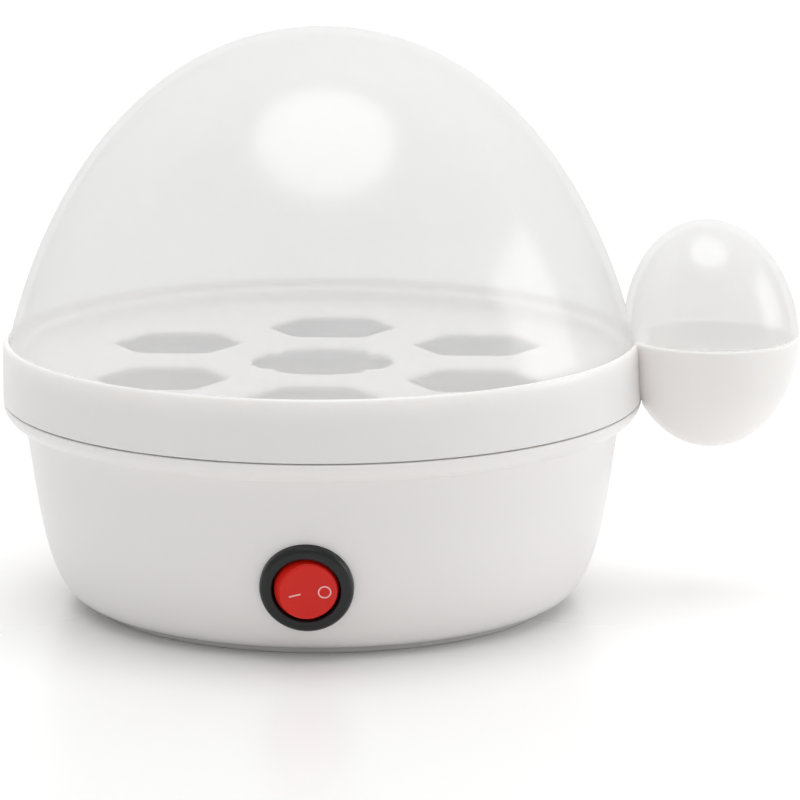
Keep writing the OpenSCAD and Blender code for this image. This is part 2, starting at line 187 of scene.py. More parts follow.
def plastic(name, colour, rough=0.22, spread=0.01, grain=0.04, grain_scale=1500, waves=0.05, specular=0.5,
            milk=0.0):
    """Moulded plastic: a slow drift in colour and gloss, faint sink waves and a fine moulded grain."""
    mat, tree, bsdf = new_material(name)
    coords = add_node(tree, "ShaderNodeTexCoord").outputs["Object"]
    cloud = noise(tree, coords, 22, 3)
    fine = noise(tree, coords, grain_scale, 2)
    link_in(tree, bsdf, "Base Color",
            blend_colours(tree, cloud, shade(colour, 1 - spread), shade(colour, 1 + spread)))
    mottle = noise(tree, coords, 160, 4, 0.6)
    link_in(tree, bsdf, "Roughness", ramp(tree, mottle, (0.3, 0.7), (rough * 0.94, rough * 1.06)))
    low = bump(tree, noise(tree, coords, 30, 1), waves, 0.0004)
    link_in(tree, bsdf, "Normal", bump(tree, fine, grain, 0.00005, low))
    bsdf.inputs["Specular IOR Level"].default_value = specular
    bsdf.inputs["Subsurface Weight"].default_value = milk
    bsdf.inputs["Subsurface Radius"].default_value = (1.0, 0.9, 0.8)
    bsdf.inputs["Subsurface Scale"].default_value = 0.004
    return mat


def rubber(name, colour):
    return plastic(name, colour, rough=0.62, spread=0.05, grain=0.35, grain_scale=2600)


def sheet_metal(name, colour, rough=0.3, spread=0.06):
    """Pressed and plated metal: fine streaks along one direction and light blotches."""
    mat, tree, bsdf = new_material(name)
    coords = add_node(tree, "ShaderNodeTexCoord").outputs["Object"]
    stretched = add_node(tree, "ShaderNodeMapping", {"Vector": coords, "Scale": (60, 1500, 900)}).outputs[0]
    streaks = noise(tree, stretched, 1, 3, 0.7)
    blotches = noise(tree, coords, 240, 3)
    link_in(tree, bsdf, "Base Color",
            blend_colours(tree, blotches, shade(colour, 1 - spread), shade(colour, 1 + spread)))
    link_in(tree, bsdf, "Roughness", ramp(tree, streaks, (0.25, 0.75), (rough * 0.7, rough * 1.3)))
    link_in(tree, bsdf, "Normal", bump(tree, streaks, 0.12, 0.00004))
    bsdf.inputs["Metallic"].default_value = 1
    return mat


def spun_steel(name, colour):
    """A plate polished on a lathe: fine rings around the main axis, and faint water marks."""
    mat, tree, bsdf = new_material(name)
    coords = add_node(tree, "ShaderNodeTexCoord").outputs["Object"]
    split = add_node(tree, "ShaderNodeSeparateXYZ", {"Vector": coords})
    squares = math_node(tree, "ADD", math_node(tree, "POWER", split.outputs["X"], 2.0),
                        math_node(tree, "POWER", split.outputs["Y"], 2.0))
    radius = math_node(tree, "SQRT", squares)
    rings = add_node(tree, "ShaderNodeTexNoise", {"W": radius, "Scale": 2400, "Detail": 3},
                     noise_dimensions="1D").outputs[0]
    marks = noise(tree, coords, 55, 5, 0.6)
    link_in(tree, bsdf, "Base Color",
            blend_colours(tree, ramp(tree, marks, (0.45, 0.62), (0, 1)), colour, shade(colour, 0.96)))
    link_in(tree, bsdf, "Roughness",
            math_node(tree, "ADD", ramp(tree, rings, (0.3, 0.7), (0.18, 0.26)),
                      ramp(tree, marks, (0.45, 0.62), (0, 0.05))))
    link_in(tree, bsdf, "Normal", bump(tree, rings, 0.25, 0.00004))
    bsdf.inputs["Metallic"].default_value = 1
    return mat


def clear_plastic(name):
    """Clear polystyrene with a milky haze, denser at its edges, under a soft gloss.

    The haze glows from both sides. Most of the light that only lights something goes straight through.
    """
    mat, tree, bsdf = new_material(name)
    coords = add_node(tree, "ShaderNodeTexCoord").outputs["Object"]
    cloud = noise(tree, coords, 26, 3)
    link_in(tree, bsdf, "Base Color", blend_colours(tree, cloud, (0.91, 0.91, 0.91), (0.94, 0.94, 0.94)))
    link_in(tree, bsdf, "Roughness", ramp(tree, cloud, (0.3, 0.7), (0.45, 0.6)))
    waves = bump(tree, noise(tree, coords, 24, 1), 0.08, 0.0004)
    bsdf.inputs["Specular IOR Level"].default_value = 0
    facing = add_node(tree, "ShaderNodeLayerWeight", {"Blend": 0.5}).outputs["Facing"]
    edge = math_node(tree, "POWER", facing, 4.0)
    haze = math_node(tree, "ADD", ramp(tree, cloud, (0.3, 0.7), (0.41, 0.43)),
                     math_node(tree, "MULTIPLY", edge, 0.1))
    through = add_node(tree, "ShaderNodeBsdfTransparent", {
        "Color": blend_colours(tree, edge, (0.99, 0.99, 0.99), (0.78, 0.78, 0.78))})
    glow = add_node(tree, "ShaderNodeBsdfTranslucent", {"Color": (0.95, 0.95, 0.95, 1)})
    milk = add_node(tree, "ShaderNodeMixShader", {0: 0.5, 1: bsdf.outputs[0], 2: glow.outputs[0]})
    body = add_node(tree, "ShaderNodeMixShader", {0: haze, 1: through.outputs[0], 2: milk.outputs[0]})
    gloss_rough = ramp(tree, noise(tree, coords, 140, 4, 0.6), (0.3, 0.7), (0.15, 0.2))
    gloss = add_node(tree, "ShaderNodeBsdfAnisotropic", {
        "Color": (1, 1, 1, 1), "Roughness": gloss_rough, "Normal": waves})
    mirror = add_node(tree, "ShaderNodeMath", {0: math_node(tree, "POWER", facing, 5.0), 1: 0.15, 2: 0.04},
                      operation="MULTIPLY_ADD").outputs[0]
    solid = add_node(tree, "ShaderNodeMixShader", {0: mirror, 1: body.outputs[0], 2: gloss.outputs[0]})
    path = add_node(tree, "ShaderNodeLightPath")
    lit = math_node(tree, "MAXIMUM", path.outputs["Is Shadow Ray"], path.outputs["Is Diffuse Ray"])
    final = add_node(tree, "ShaderNodeMixShader", {
        0: math_node(tree, "MULTIPLY", lit, 0.8), 1: solid.outputs[0], 2: through.outputs[0]})
    link_in(tree, tree.nodes["Material Output"], "Surface", final.outputs[0])
    return mat


def rocker_red(name):
    """Tinted switch plastic that lets some light in."""
    mat = plastic(name, (0.71, 0.014, 0.0065), rough=0.24, spread=0.06, grain=0.03, specular=0.3)
    bsdf = mat.node_tree.nodes["Principled BSDF"]
    bsdf.inputs["Subsurface Weight"].default_value = 0.35
    bsdf.inputs["Subsurface Radius"].default_value = (1.0, 0.1, 0.05)
    bsdf.inputs["Subsurface Scale"].default_value = 0.0015
    return mat


def lamp_glass(name):
    """Tinted glass that half the light goes into."""
    mat, tree, bsdf = new_material(name)
    coords = add_node(tree, "ShaderNodeTexCoord").outputs["Object"]
    cloud = noise(tree, coords, 400, 2)
    link_in(tree, bsdf, "Base Color", blend_colours(tree, cloud, (0.9, 0.4, 0.14), (0.95, 0.5, 0.2)))
    link_in(tree, bsdf, "Roughness", ramp(tree, cloud, (0.3, 0.7), (0.04, 0.1)))
    bsdf.inputs["Transmission Weight"].default_value = 0.5
    return mat


MATERIALS = {
    "white_plastic": plastic("white_plastic", (0.885, 0.862, 0.852), rough=0.3),
    "tray_plastic": plastic("tray_plastic", (0.885, 0.861, 0.848), rough=0.32, milk=0.4),
    "cover_plastic": plastic("cover_plastic", (0.76, 0.755, 0.75), rough=0.45, grain=0.4, grain_scale=1300),
    "foot_rubber": rubber("foot_rubber", (0.72, 0.7, 0.69)),
    "gasket_rubber": rubber("gasket_rubber", (0.25, 0.25, 0.25)),
    "screw_steel": sheet_metal("screw_steel", (0.68, 0.68, 0.7), rough=0.24),
    "sheet_steel": sheet_metal("sheet_steel", (0.62, 0.63, 0.64), rough=0.34),
    # The plate's colour is bluer and paler than bare steel: the blue tint is a painted reflection of cool light,
    # and the extra paleness is painted light that brightens the holes seen through the tray.
    "plate_steel": spun_steel("plate_steel", (0.85, 0.89, 0.96)),
    "spreader_aluminium": sheet_metal("spreader_aluminium", (0.76, 0.77, 0.78), rough=0.42),
    "element_sheath": sheet_metal("element_sheath", (0.2, 0.19, 0.18), rough=0.55, spread=0.2),
    "phenolic": plastic("phenolic", (0.03, 0.026, 0.022), rough=0.4, spread=0.15, grain=0.3),
    "tab_brass": sheet_metal("tab_brass", (0.72, 0.5, 0.2), rough=0.3),
    "block_plastic": plastic("block_plastic", (0.72, 0.69, 0.58), rough=0.45, grain=0.25),
    "gland_plastic": plastic("gland_plastic", (0.62, 0.62, 0.61), rough=0.4, grain=0.25),
    "black_plastic": plastic("black_plastic", (0.012, 0.013, 0.014), rough=0.3, spread=0.1, grain=0.08,
                             specular=0.35),
    "rocker_red": rocker_red("rocker_red"),
    "mark_print": plastic("mark_print", (0.92, 0.55, 0.52), rough=0.5, spread=0.03, grain=0.2),
    "lamp_glass": lamp_glass("lamp_glass"),
    "brown_wire": plastic("brown_wire", (0.12, 0.045, 0.018), rough=0.4, spread=0.08),
    "red_wire": plastic("red_wire", (0.42, 0.02, 0.016), rough=0.5, spread=0.08),
    "blue_wire": plastic("blue_wire", (0.02, 0.08, 0.4), rough=0.4, spread=0.08),
    "clear_plastic": clear_plastic("clear_plastic"),
}


# ---- Outlines --------------------------------------------------------------------------------

def bezier(p0, p1, p2, p3, n):
    """A cubic curve in n segments."""
    points = [np.array(p, float) for p in (p0, p1, p2, p3)]
    out = []
    for i in range(n + 1):
        t = i / n
        s = 1 - t
        out.append(tuple(s**3 * points[0] + 3 * s * s * t * points[1]
                         + 3 * s * t * t * points[2] + t**3 * points[3]))
    return out


def arc(centre, a, b, start, end, n=ROUND):
    """Part of an ellipse with half axes a and b, between two angles in degrees."""
    out = []
    for i in range(n + 1):
        w = math.radians(start + (end - start) * i / n)
        out.append((centre[0] + a * math.cos(w), centre[1] + b * math.sin(w)))
    return out


def inset(outline, distance):
    """The outline moved sideways, to the left of its direction."""
    points = np.array(outline, float)
    along = np.gradient(points, axis=0)
    along /= np.linalg.norm(along, axis=1)[:, None]
    return [tuple(p) for p in points + distance * np.stack([-along[:, 1], along[:, 0]], 1)]


def radius_at(outline, height):
    """Radius of an outline that climbs all the way, at a height."""
    points = sorted((z, r) for r, z in outline)
    return float(np.interp(height, [p[0] for p in points], [p[1] for p in points]))


def rounded(outline, radii, n=ROUND):
    """A closed or open outline whose listed corners, by index, become arcs of those radii."""
    out = []
    for i, point in enumerate(outline):
        radius = radii.get(i, 0)
        if not radius:
            out.append(point)
            continue
        here = Vector(point)
        back = (Vector(outline[i - 1]) - here).normalized()
        ahead = (Vector(outline[(i + 1) % len(outline)]) - here).normalized()
        half = back.angle(ahead) / 2
        reach = radius / math.tan(half)
        centre = here + (back + ahead).normalized() * radius / math.sin(half)
        first = here + back * reach - centre
        last = here + ahead * reach - centre
        sweep = first.angle_signed(last)
        for k in range(n + 1):
            turn = Matrix.Rotation(-sweep * k / n, 2)
            out.append(tuple(centre + turn @ first))
    return out


# ---- Meshes ----------------------------------------------------------------------------------

def make_piece(name, points, faces):
    """A mesh from points in millimetres."""
    mesh = bpy.data.meshes.new(name)
    mesh.from_pydata([(x * MM, y * MM, z * MM) for x, y, z in points], [], faces)
    piece = bpy.data.objects.new(name, mesh)
    bpy.context.scene.collection.objects.link(piece)
    tidy_mesh(mesh)
    return piece


def tidy_mesh(mesh):
    """Merges points that coincide and turns every face outwards."""
    bm = bmesh.new()
    bm.from_mesh(mesh)
    bmesh.ops.remove_doubles(bm, verts=bm.verts, dist=1e-7)
    bmesh.ops.recalc_face_normals(bm, faces=bm.faces)
    bm.to_mesh(mesh)
    bm.free()


def revolve(name, outline, n=TURN, centre=(0, 0)):
    """A solid of revolution about a vertical axis.

    The outline is a closed loop, or starts and ends on the axis.
    """
    points, rows = [], []
    for r, z in outline:
        if r < 1e-6:
            rows.append([len(points)])
            points.append((centre[0], centre[1], z))
            continue
        rows.append(list(range(len(points), len(points) + n)))
        for k in range(n):
            w = 2 * math.pi * k / n
            points.append((centre[0] + r * math.cos(w), centre[1] + r * math.sin(w), z))
    loop = len(rows[0]) > 1 and len(rows[-1]) > 1
    faces = []
    for i in range(len(rows) if loop else len(rows) - 1):
        a, b = rows[i], rows[(i + 1) % len(rows)]
        for k in range(n):
            m = (k + 1) % n
            if len(a) > 1 and len(b) > 1:
                faces.append((a[k], a[m], b[m], b[k]))
            elif len(b) > 1:
                faces.append((a[0], b[m], b[k]))
            elif len(a) > 1:
                faces.append((a[k], a[m], b[0]))
    return make_piece(name, points, faces)


def loft(name, loops):
    """A closed solid through loops of equally many points, with flat ends."""
    n = len(loops[0])
    points = [p for loop in loops for p in loop]
    faces = [tuple(range(n))]
    for i in range(len(loops) - 1):
        for k in range(n):
            m = (k + 1) % n
            faces.append((i * n + k, i * n + m, (i + 1) * n + m, (i + 1) * n + k))
    faces.append(tuple(range((len(loops) - 1) * n, len(loops) * n)))
    return make_piece(name, points, faces)


def join(name, pieces):
    """One object that holds several separate solids."""
    bm = bmesh.new()
    for piece in pieces:
        bm.from_mesh(piece.data)
        bpy.data.objects.remove(piece)
    mesh = bpy.data.meshes.new(name)
    bm.to_mesh(mesh)
    bm.free()
    whole = bpy.data.objects.new(name, mesh)
    bpy.context.scene.collection.objects.link(whole)
    return whole


def combine(piece, tool, operation):
    """Adds the tool to the piece, or cuts it out, and removes the tool."""
    step = piece.modifiers.new("step", "BOOLEAN")
    step.operation = operation
    step.object = tool
    step.solver = "EXACT"
    bpy.context.view_layer.update()
    result = piece.evaluated_get(bpy.context.evaluated_depsgraph_get())
    mesh = bpy.data.meshes.new_from_object(result)
    piece.modifiers.clear()
    piece.data = mesh
    bpy.data.objects.remove(tool)
    tidy_mesh(mesh)
    return piece


def place(piece, matrix):
    """Moves a mesh from a local frame in millimetres to its place."""
    scaled = matrix.copy()
    scaled.translation = matrix.translation * MM
    piece.data.transform(scaled)
    return piece


def finish_piece(piece, body, slot, nodes, sharp=38):
    """Smooth shading with sharp edges above an angle and a material; the piece goes under its body, and the
    frame's nodes that it stands for are hidden.
    """
    mesh = piece.data
    mesh.materials.clear()
    mesh.materials.append(MATERIALS[slot])
    mesh.shade_smooth()
    mesh.set_sharp_from_angle(angle=math.radians(sharp))
    weights = piece.modifiers.new("normals", "WEIGHTED_NORMAL")
    weights.keep_sharp = True
    weights.weight = 80
    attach(piece, body)
    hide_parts(*nodes)
    return piece


# ---- Sizes and local frames -------------------------------------------------------------------

def size_of(node):
    """The low and high corners of a node's box, in millimetres."""
    low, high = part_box(node)
    return low / MM, high / MM


base_low, base_high = size_of("base_housing")
tray_high = size_of("egg_tray")[1]
lid_low, lid_high = size_of("lid")
foot_high = size_of("foot_ring")[1]
cover_low, cover_high = size_of("bottom_cover")
plate_low, plate_high = size_of("heating_plate")
BASE_H = base_high.z
FLANGE_R = base_high.y
HOUSING_FOOT = base_low.z
RING_TOP = tray_high.z - 0.3      # the top of the tray's band
CUP_TOP = tray_high.z
CUP_R = 23.9
CUP_X = tray_high.x - CUP_R
CUP_DEEP = 30.6
LID_Z = lid_low.z
LID_R = -lid_low.x
LID_TOP = lid_high.z
POD_Z = CUP_TOP + 0.3
POD_H = 32                        # the pod's height above the cup
POD_LEAN = math.radians(3)
LID_WALL = 2
PITCH_R = 48.5                    # how far the six outer egg holes are from the middle
DISC_TOP = RING_TOP - 7.3         # the tray's sunken disc
DISC_Z = DISC_TOP - 2
FLOOR_Z = 34.5                    # the underside of the basin's floor
FLOOR_TOP = 37.5
WALL = 2.5
FLANGE_DROP = 5.8                 # how far the flange starts below the base's top
NECK = (81.7, BASE_H - FLANGE_DROP)
BELLY = bezier((foot_high.x - 0.2, HOUSING_FOOT), (77.4, -0.6), (NECK[0] - 2.8, NECK[1] - 13.5), NECK, 40)
GLAND_R = 6.5
GLAND_NECK_R = 4.6
BEZEL_R = 12.3
BARREL_R = 9.75
OPENING_R = 8.95
PIVOT_N = -1                      # the rocker's hinge, in from the wall's face
SWING_R = 8.7                     # how far the rocker may reach from its hinge
FACE_N = 2.5                      # the middle of the rocker's face
DISH_RADIUS = 40
THROW = math.radians(22)


def switch_frame():
    """The switch's own axes: +X right, +Y up the wall and +Z straight out, from the wall over the hinge."""
    hinge = [j for j in frame["joints"] if j["name"] == "rocker_tilt"][0]
    up = Vector(hinge["axis"]).normalized()
    out = Vector((1, 0, 0)).cross(up).normalized()
    right = up.cross(out)
    matrix = Matrix((right, up, out)).transposed().to_4x4()
    matrix.translation = Vector(hinge["pos_m"]) / MM - out * PIVOT_N
    return matrix


def gland_frame():
    """The gland's own axes: +Z straight out of the back wall, from the cord entry."""
    entry = [m for m in frame["record"]["mounts"] if m["name"] == "cord_entry"][0]
    matrix = Vector(entry["axis"]).to_track_quat("Z", "Y").to_matrix().to_4x4()
    matrix.translation = Vector(entry["pos_m"]) / MM
    return matrix


SWITCH = switch_frame()
GLAND = gland_frame()


def cylinder(name, radius, low, high, n=SMALL_TURN, centre=(0, 0)):
    return revolve(name, [(0, low), (radius, low), (radius, high), (0, high)], n, centre)


def around(count, radius, start=0):
    """Centres spaced evenly around the main axis."""
    turns = [math.radians(start + 360 * i / count) for i in range(count)]
    return [(radius * math.cos(w), radius * math.sin(w)) for w in turns]


SCREWS = around(3, 55)


# ---- Base ------------------------------------------------------------------------------------

def build_base():
    """The moulded housing: belly, flange, basin and wiring bay, with screw bosses under the basin floor."""
    hub_r, seat_r, seat_z = 49, cover_high.x + 0.3, 6.5
    mouth_r, flare, edge = 79.2, 7.5, 0.35
    boss_r, pilot_r, pilot_low, pilot_high = 4, 1.3, 3, 18.4
    inner = inset(BELLY, WALL)
    basin = [p for p in inner if p[1] > FLOOR_TOP + 1.5]
    bay = [p for p in inner if seat_z < p[1] < FLOOR_Z - 0.5]
    flange = arc((FLANGE_R - flare, BASE_H), flare, FLANGE_DROP + 0.1, -76, -4, 14)
    top = rounded([flange[-1], (FLANGE_R - edge, BASE_H), (mouth_r, BASE_H), (mouth_r - 0.2, BASE_H - 1)],
                  {1: edge, 2: 0.3}, 4)
    corner = radius_at(BELLY, FLOOR_TOP) - WALL
    floor = rounded([basin[0], (corner, FLOOR_TOP), (hub_r, FLOOR_TOP), (hub_r, FLOOR_Z)],
                    {1: 2.4, 2: 0.4})
    outline = ([(seat_r, HOUSING_FOOT)] + BELLY + flange[:-1] + top[:-1] + basin[::-1][:-1] + floor
               + [(radius_at(BELLY, FLOOR_Z) - WALL, FLOOR_Z)] + bay[::-1] + [(seat_r, seat_z)])
    base = revolve("base_shell", outline)
    bosses = [cylinder("boss", boss_r, cover_high.z + 0.05, FLOOR_Z + 0.5, TOOL_TURN, c) for c in SCREWS]
    combine(base, join("bosses", bosses), "UNION")
    holes = [cylinder("pilot", pilot_r, pilot_low, pilot_high, TOOL_TURN // 2, c) for c in SCREWS]
    holes += [place(cylinder("recess", BEZEL_R + 0.1, -1, 8), SWITCH),
              place(cylinder("barrel_hole", BARREL_R + 0.1, -8, 8), SWITCH),
              place(cylinder("gland_recess", GLAND_R + 0.1, -0.8, 6), GLAND),
              place(cylinder("gland_hole", GLAND_NECK_R + 0.05, -8, 6), GLAND)]
    for hole in holes:
        combine(base, hole, "DIFFERENCE")
    return finish_piece(base, "base", "white_plastic", ["base_housing", "basin_deck"])


def build_foot():
    """The ring that the cooker stands on."""
    outer, inner, top = foot_high.x, foot_high.x - 4.6, foot_high.z
    outline = rounded([(inner, 0), (outer, 0), (outer, top), (inner, top)], {0: 0.5, 1: 0.6, 2: 0.3, 3: 0.3})
    return finish_piece(revolve("foot", outline), "base", "foot_rubber", ["foot_ring"])


def build_cover():
    """The underside, with louvres that let the bay breathe and countersunk screw holes."""
    low, high, radius = cover_low.z, cover_high.z, cover_high.x
    slot_r, slot_reach, slot_pitch = 1, 13, 6
    head_r, shank_r, sink = 3.6, 1.9, 1.7
    cover = revolve("base_cover", rounded([(0, low), (radius, low), (radius, high), (0, high)],
                                          {1: 0.5, 2: 0.3}))
    tools = []
    for i in range(-3, 4):
        slot = (arc((slot_pitch * i, slot_reach), slot_r, slot_r, 0, 180, 12)
                + arc((slot_pitch * i, -slot_reach), slot_r, slot_r, 180, 360, 12))
        tools.append(flared_hole("slot", slot, low, high, 0.4))
    for c in SCREWS:
        tools.append(revolve("sink", [(0, low - 1), (head_r, low - 1), (head_r, low), (shank_r, low + sink),
                                      (shank_r, high + 1), (0, high + 1)], TOOL_TURN, c))
    combine(cover, join("openings", tools), "DIFFERENCE")
    return finish_piece(cover, "base", "cover_plastic", ["bottom_cover"])


def build_plate():
    """The pressed steel dish that the water boils in."""
    low, high, radius, dish_r, thick = plate_low.z, plate_high.z, plate_high.x, 46.8, 0.8
    under = rounded([(0, low), (dish_r, low), (dish_r, high - thick), (radius, high - thick)],
                    {1: 2.4, 2: 0.4}, 8)
    over = rounded([(radius, high), (dish_r - thick, high), (dish_r - thick, low + thick), (0, low + thick)],
                   {1: 0.7, 2: 1.7}, 8)
    return finish_piece(revolve("hotplate", under + over), "base", "plate_steel", ["heating_plate"])


def build_gland():
    """The bush that the cord would come through, gripping the wall between its two collars."""
    bore, clip_r, wall_in, wall_out = 3.4, GLAND_R - 0.8, -4.2, -0.8
    outline = rounded([(bore, 3.6), (bore, -6.4), (clip_r, -6.4), (clip_r, wall_in - 0.4),
                       (GLAND_NECK_R, wall_in), (GLAND_NECK_R, wall_out), (GLAND_R, wall_out), (GLAND_R, 2),
                       (bore + 1.5, 2.4), (bore + 1.4, 3.6)],
                      {0: 0.6, 1: 0.3, 7: 0.9, 9: 0.5})
    gland = place(revolve("gland", outline, SMALL_TURN), GLAND)
    return finish_piece(gland, "base", "gland_plastic", ["cord_gland"])


# ---- Switch ----------------------------------------------------------------------------------

def along_hinge(piece, way=1):
    """Lays an upright piece along the rocker's hinge."""
    return place(piece, Matrix.Translation((0, 0, PIVOT_N)) @ Matrix.Rotation(way * math.pi / 2, 4, "X"))


def build_bezel():
    """The round black body of the switch, with a softly crowned rim."""
    bottom, seat, well, pin_room = -15, -1, -7, 9.6
    rim = bezier((BEZEL_R, 0.1), (BEZEL_R - 0.1, 1.5), (BEZEL_R - 1.2, 2.02), (BEZEL_R - 2.3, 1.9), 12)
    outline = ([(0, bottom), (BARREL_R, bottom), (BARREL_R, seat), (BEZEL_R, seat)] + rim
               + arc((OPENING_R + 0.5, 1.15), 0.5, 0.62, 80, 180, 8) + [(OPENING_R, well), (0, well)])
    bezel = revolve("switch_bezel", outline, SMALL_TURN * 2)
    combine(bezel, along_hinge(cylinder("socket", 1.25, -pin_room, pin_room, TOOL_TURN)), "DIFFERENCE")
    return finish_piece(place(bezel, SWITCH), "base", "black_plastic", ["switch_housing"], 50)


def rocker_matrix():
    """The rocker's own frame: pressed at its right end, by half the throw, about the hinge."""
    pivot = Matrix.Translation((0, 0, PIVOT_N))
    return SWITCH @ pivot @ Matrix.Rotation(THROW / 2, 4, "Y") @ pivot.inverted()


def face_height(x):
    """The hollow face of the rocker, curved about an upright axis."""
    return FACE_N + DISH_RADIUS - math.sqrt(DISH_RADIUS**2 - x * x)


def side_radius(angle, z):
    """How far the rocker reaches: it tapers above its hinge, and the cylinder of its swing cuts it."""
    widest, taper = 8.6, 0.35
    cone = widest - taper * max(0.0, z)
    swing = math.sqrt(max(SWING_R**2 - (z - PIVOT_N) ** 2, 0))
    return min(cone, swing / max(abs(math.cos(angle)), 1e-6))


def rim_height(angle):
    """Where the rocker's side meets its face."""
    z = FACE_N
    for _ in range(6):
        z = face_height(side_radius(angle, z) * math.cos(angle))
    return z


def build_rocker():
    """The rocker: straight sides, a rounded rim, a hollow face and its two hinge pins."""
    n, edge, low, chamfer = 144, 0.45, -3.2, 0.4
    angles = [2 * math.pi * k / n for k in range(n)]

    def level(height, shrink=0.0):
        """A ring around the side at one height."""
        reaches = [side_radius(w, height) - shrink for w in angles]
        return [(r * math.cos(w), r * math.sin(w), height) for r, w in zip(reaches, angles)]

    def along_rim(drop, shrink):
        """A ring that follows the rim, lower and further in."""
        out = []
        for w in angles:
            z = rim_height(w) - drop
            reach = side_radius(w, z) - shrink
            out.append((reach * math.cos(w), reach * math.sin(w), z))
        return out

    rings = [[(x * 0.01, y * 0.01, z) for x, y, z in level(low)], level(low, chamfer)]
    rings += [level(low + chamfer + k * 0.6) for k in range(6)]
    for k in range(7):
        w = math.pi / 2 * k / 6
        rings.append(along_rim(edge * (1 - math.sin(w)), edge * (1 - math.cos(w))))
    inside = rings[-1]
    for share in (0.96, 0.9, 0.8, 0.65, 0.5, 0.35, 0.2, 0.08, 0.01):
        rings.append([(x * share, y * share, face_height(x * share)) for x, y, _ in inside])
    rocker = loft("rocker_button", rings)
    pins = [along_hinge(cylinder("pin", 1.2, 7.4, 9.4, TOOL_TURN), way) for way in (-1, 1)]
    combine(rocker, join("pins", pins), "UNION")
    return finish_piece(place(rocker, rocker_matrix()), "rocker", "rocker_red", ["switch_rocker"], 60)


def on_face(name, outline, hole=None):
    """A thin print that follows the rocker's face. A hole has as many points as the outline."""
    thick, sink = 0.07, 0.05

    def lift(points, up):
        return [(x, y, face_height(x) + up) for x, y in points]

    if hole is None:
        return loft(name, [lift(outline, -sink), lift(outline, thick)])
    n = len(outline)
    loops = [lift(outline, -sink), lift(outline, thick), lift(hole, thick), lift(hole, -sink)]
    points = [p for loop in loops for p in loop]
    faces = []
    for i in range(4):
        for k in range(n):
            m = (k + 1) % n
            j = (i + 1) % 4
            faces.append((i * n + k, i * n + m, j * n + m, j * n + k))
    return make_piece(name, points, faces)


def build_marks():
    """The line and the ring that mark on and off."""
    half, line_r, (line_x, line_y) = 1.4, 0.19, (-3.7, -0.15)
    ring_at, ring_r, ring_hole, n = (4.1, -0.75), 1.75, 1.4, 64
    bar = (arc((line_x + half, line_y), line_r, line_r, -90, 90, 8)
           + arc((line_x - half, line_y), line_r, line_r, 90, 270, 8))
    outer, inner = (arc(ring_at, r, r, 0, 360 * (n - 1) / n, n - 1) for r in (ring_r, ring_hole))
    marks = join("switch_marks", [on_face("bar", bar), on_face("ring", outer, inner)])
    return finish_piece(place(marks, rocker_matrix()), "rocker", "mark_print", ["rocker_marks"])


# ---- Tray ------------------------------------------------------------------------------------

def rounded_hexagon(apothem, corner, n=7):
    """A hexagon with points on +X and -X and round corners."""
    out = []
    reach = (apothem - corner) / math.cos(math.pi / 6)
    for i in range(6):
        w = math.radians(60 * i)
        centre = (reach * math.cos(w), reach * math.sin(w))
        out += arc(centre, corner, corner, 60 * i - 30, 60 * i + 30, n)
    return out


def tabbed_circle(radius, tab, n=192):
    """A circle with four soft tabs that hold an egg in its middle."""
    out = []
    half_width = math.radians(8)
    for k in range(n):
        w = 2 * math.pi * k / n
        off = w % (math.pi / 2) - math.pi / 4
        near = max(0.0, 1 - abs(off) / half_width)
        r = radius - tab * near * near * (3 - 2 * near)
        out.append((r * math.cos(w), r * math.sin(w)))
    return out


def flared_hole(name, outline, low, high, edge):
    """A cutter for a hole through a plate. It widens towards both faces, which chamfers the hole."""
    points = np.array(outline, float)
    along = np.roll(points, -1, 0) - np.roll(points, 1, 0)
    along /= np.linalg.norm(along, axis=1)[:, None]
    outward = np.stack([along[:, 1], -along[:, 0]], 1)
    if ((points - points.mean(0)) * outward).sum() < 0:
        outward = -outward
    steps = [math.sin(math.pi / 2 * k / ROUND) for k in range(ROUND + 1)]
    levels = ([(low - 1, edge)] + [(low + edge * step, edge * (1 - step)) for step in steps]
              + [(high - edge * step, edge * (1 - step)) for step in reversed(steps)] + [(high + 1, edge)])
    loops = [[(x, y, z) for x, y in points + grow * outward] for z, grow in levels]
    return loft(name, loops)


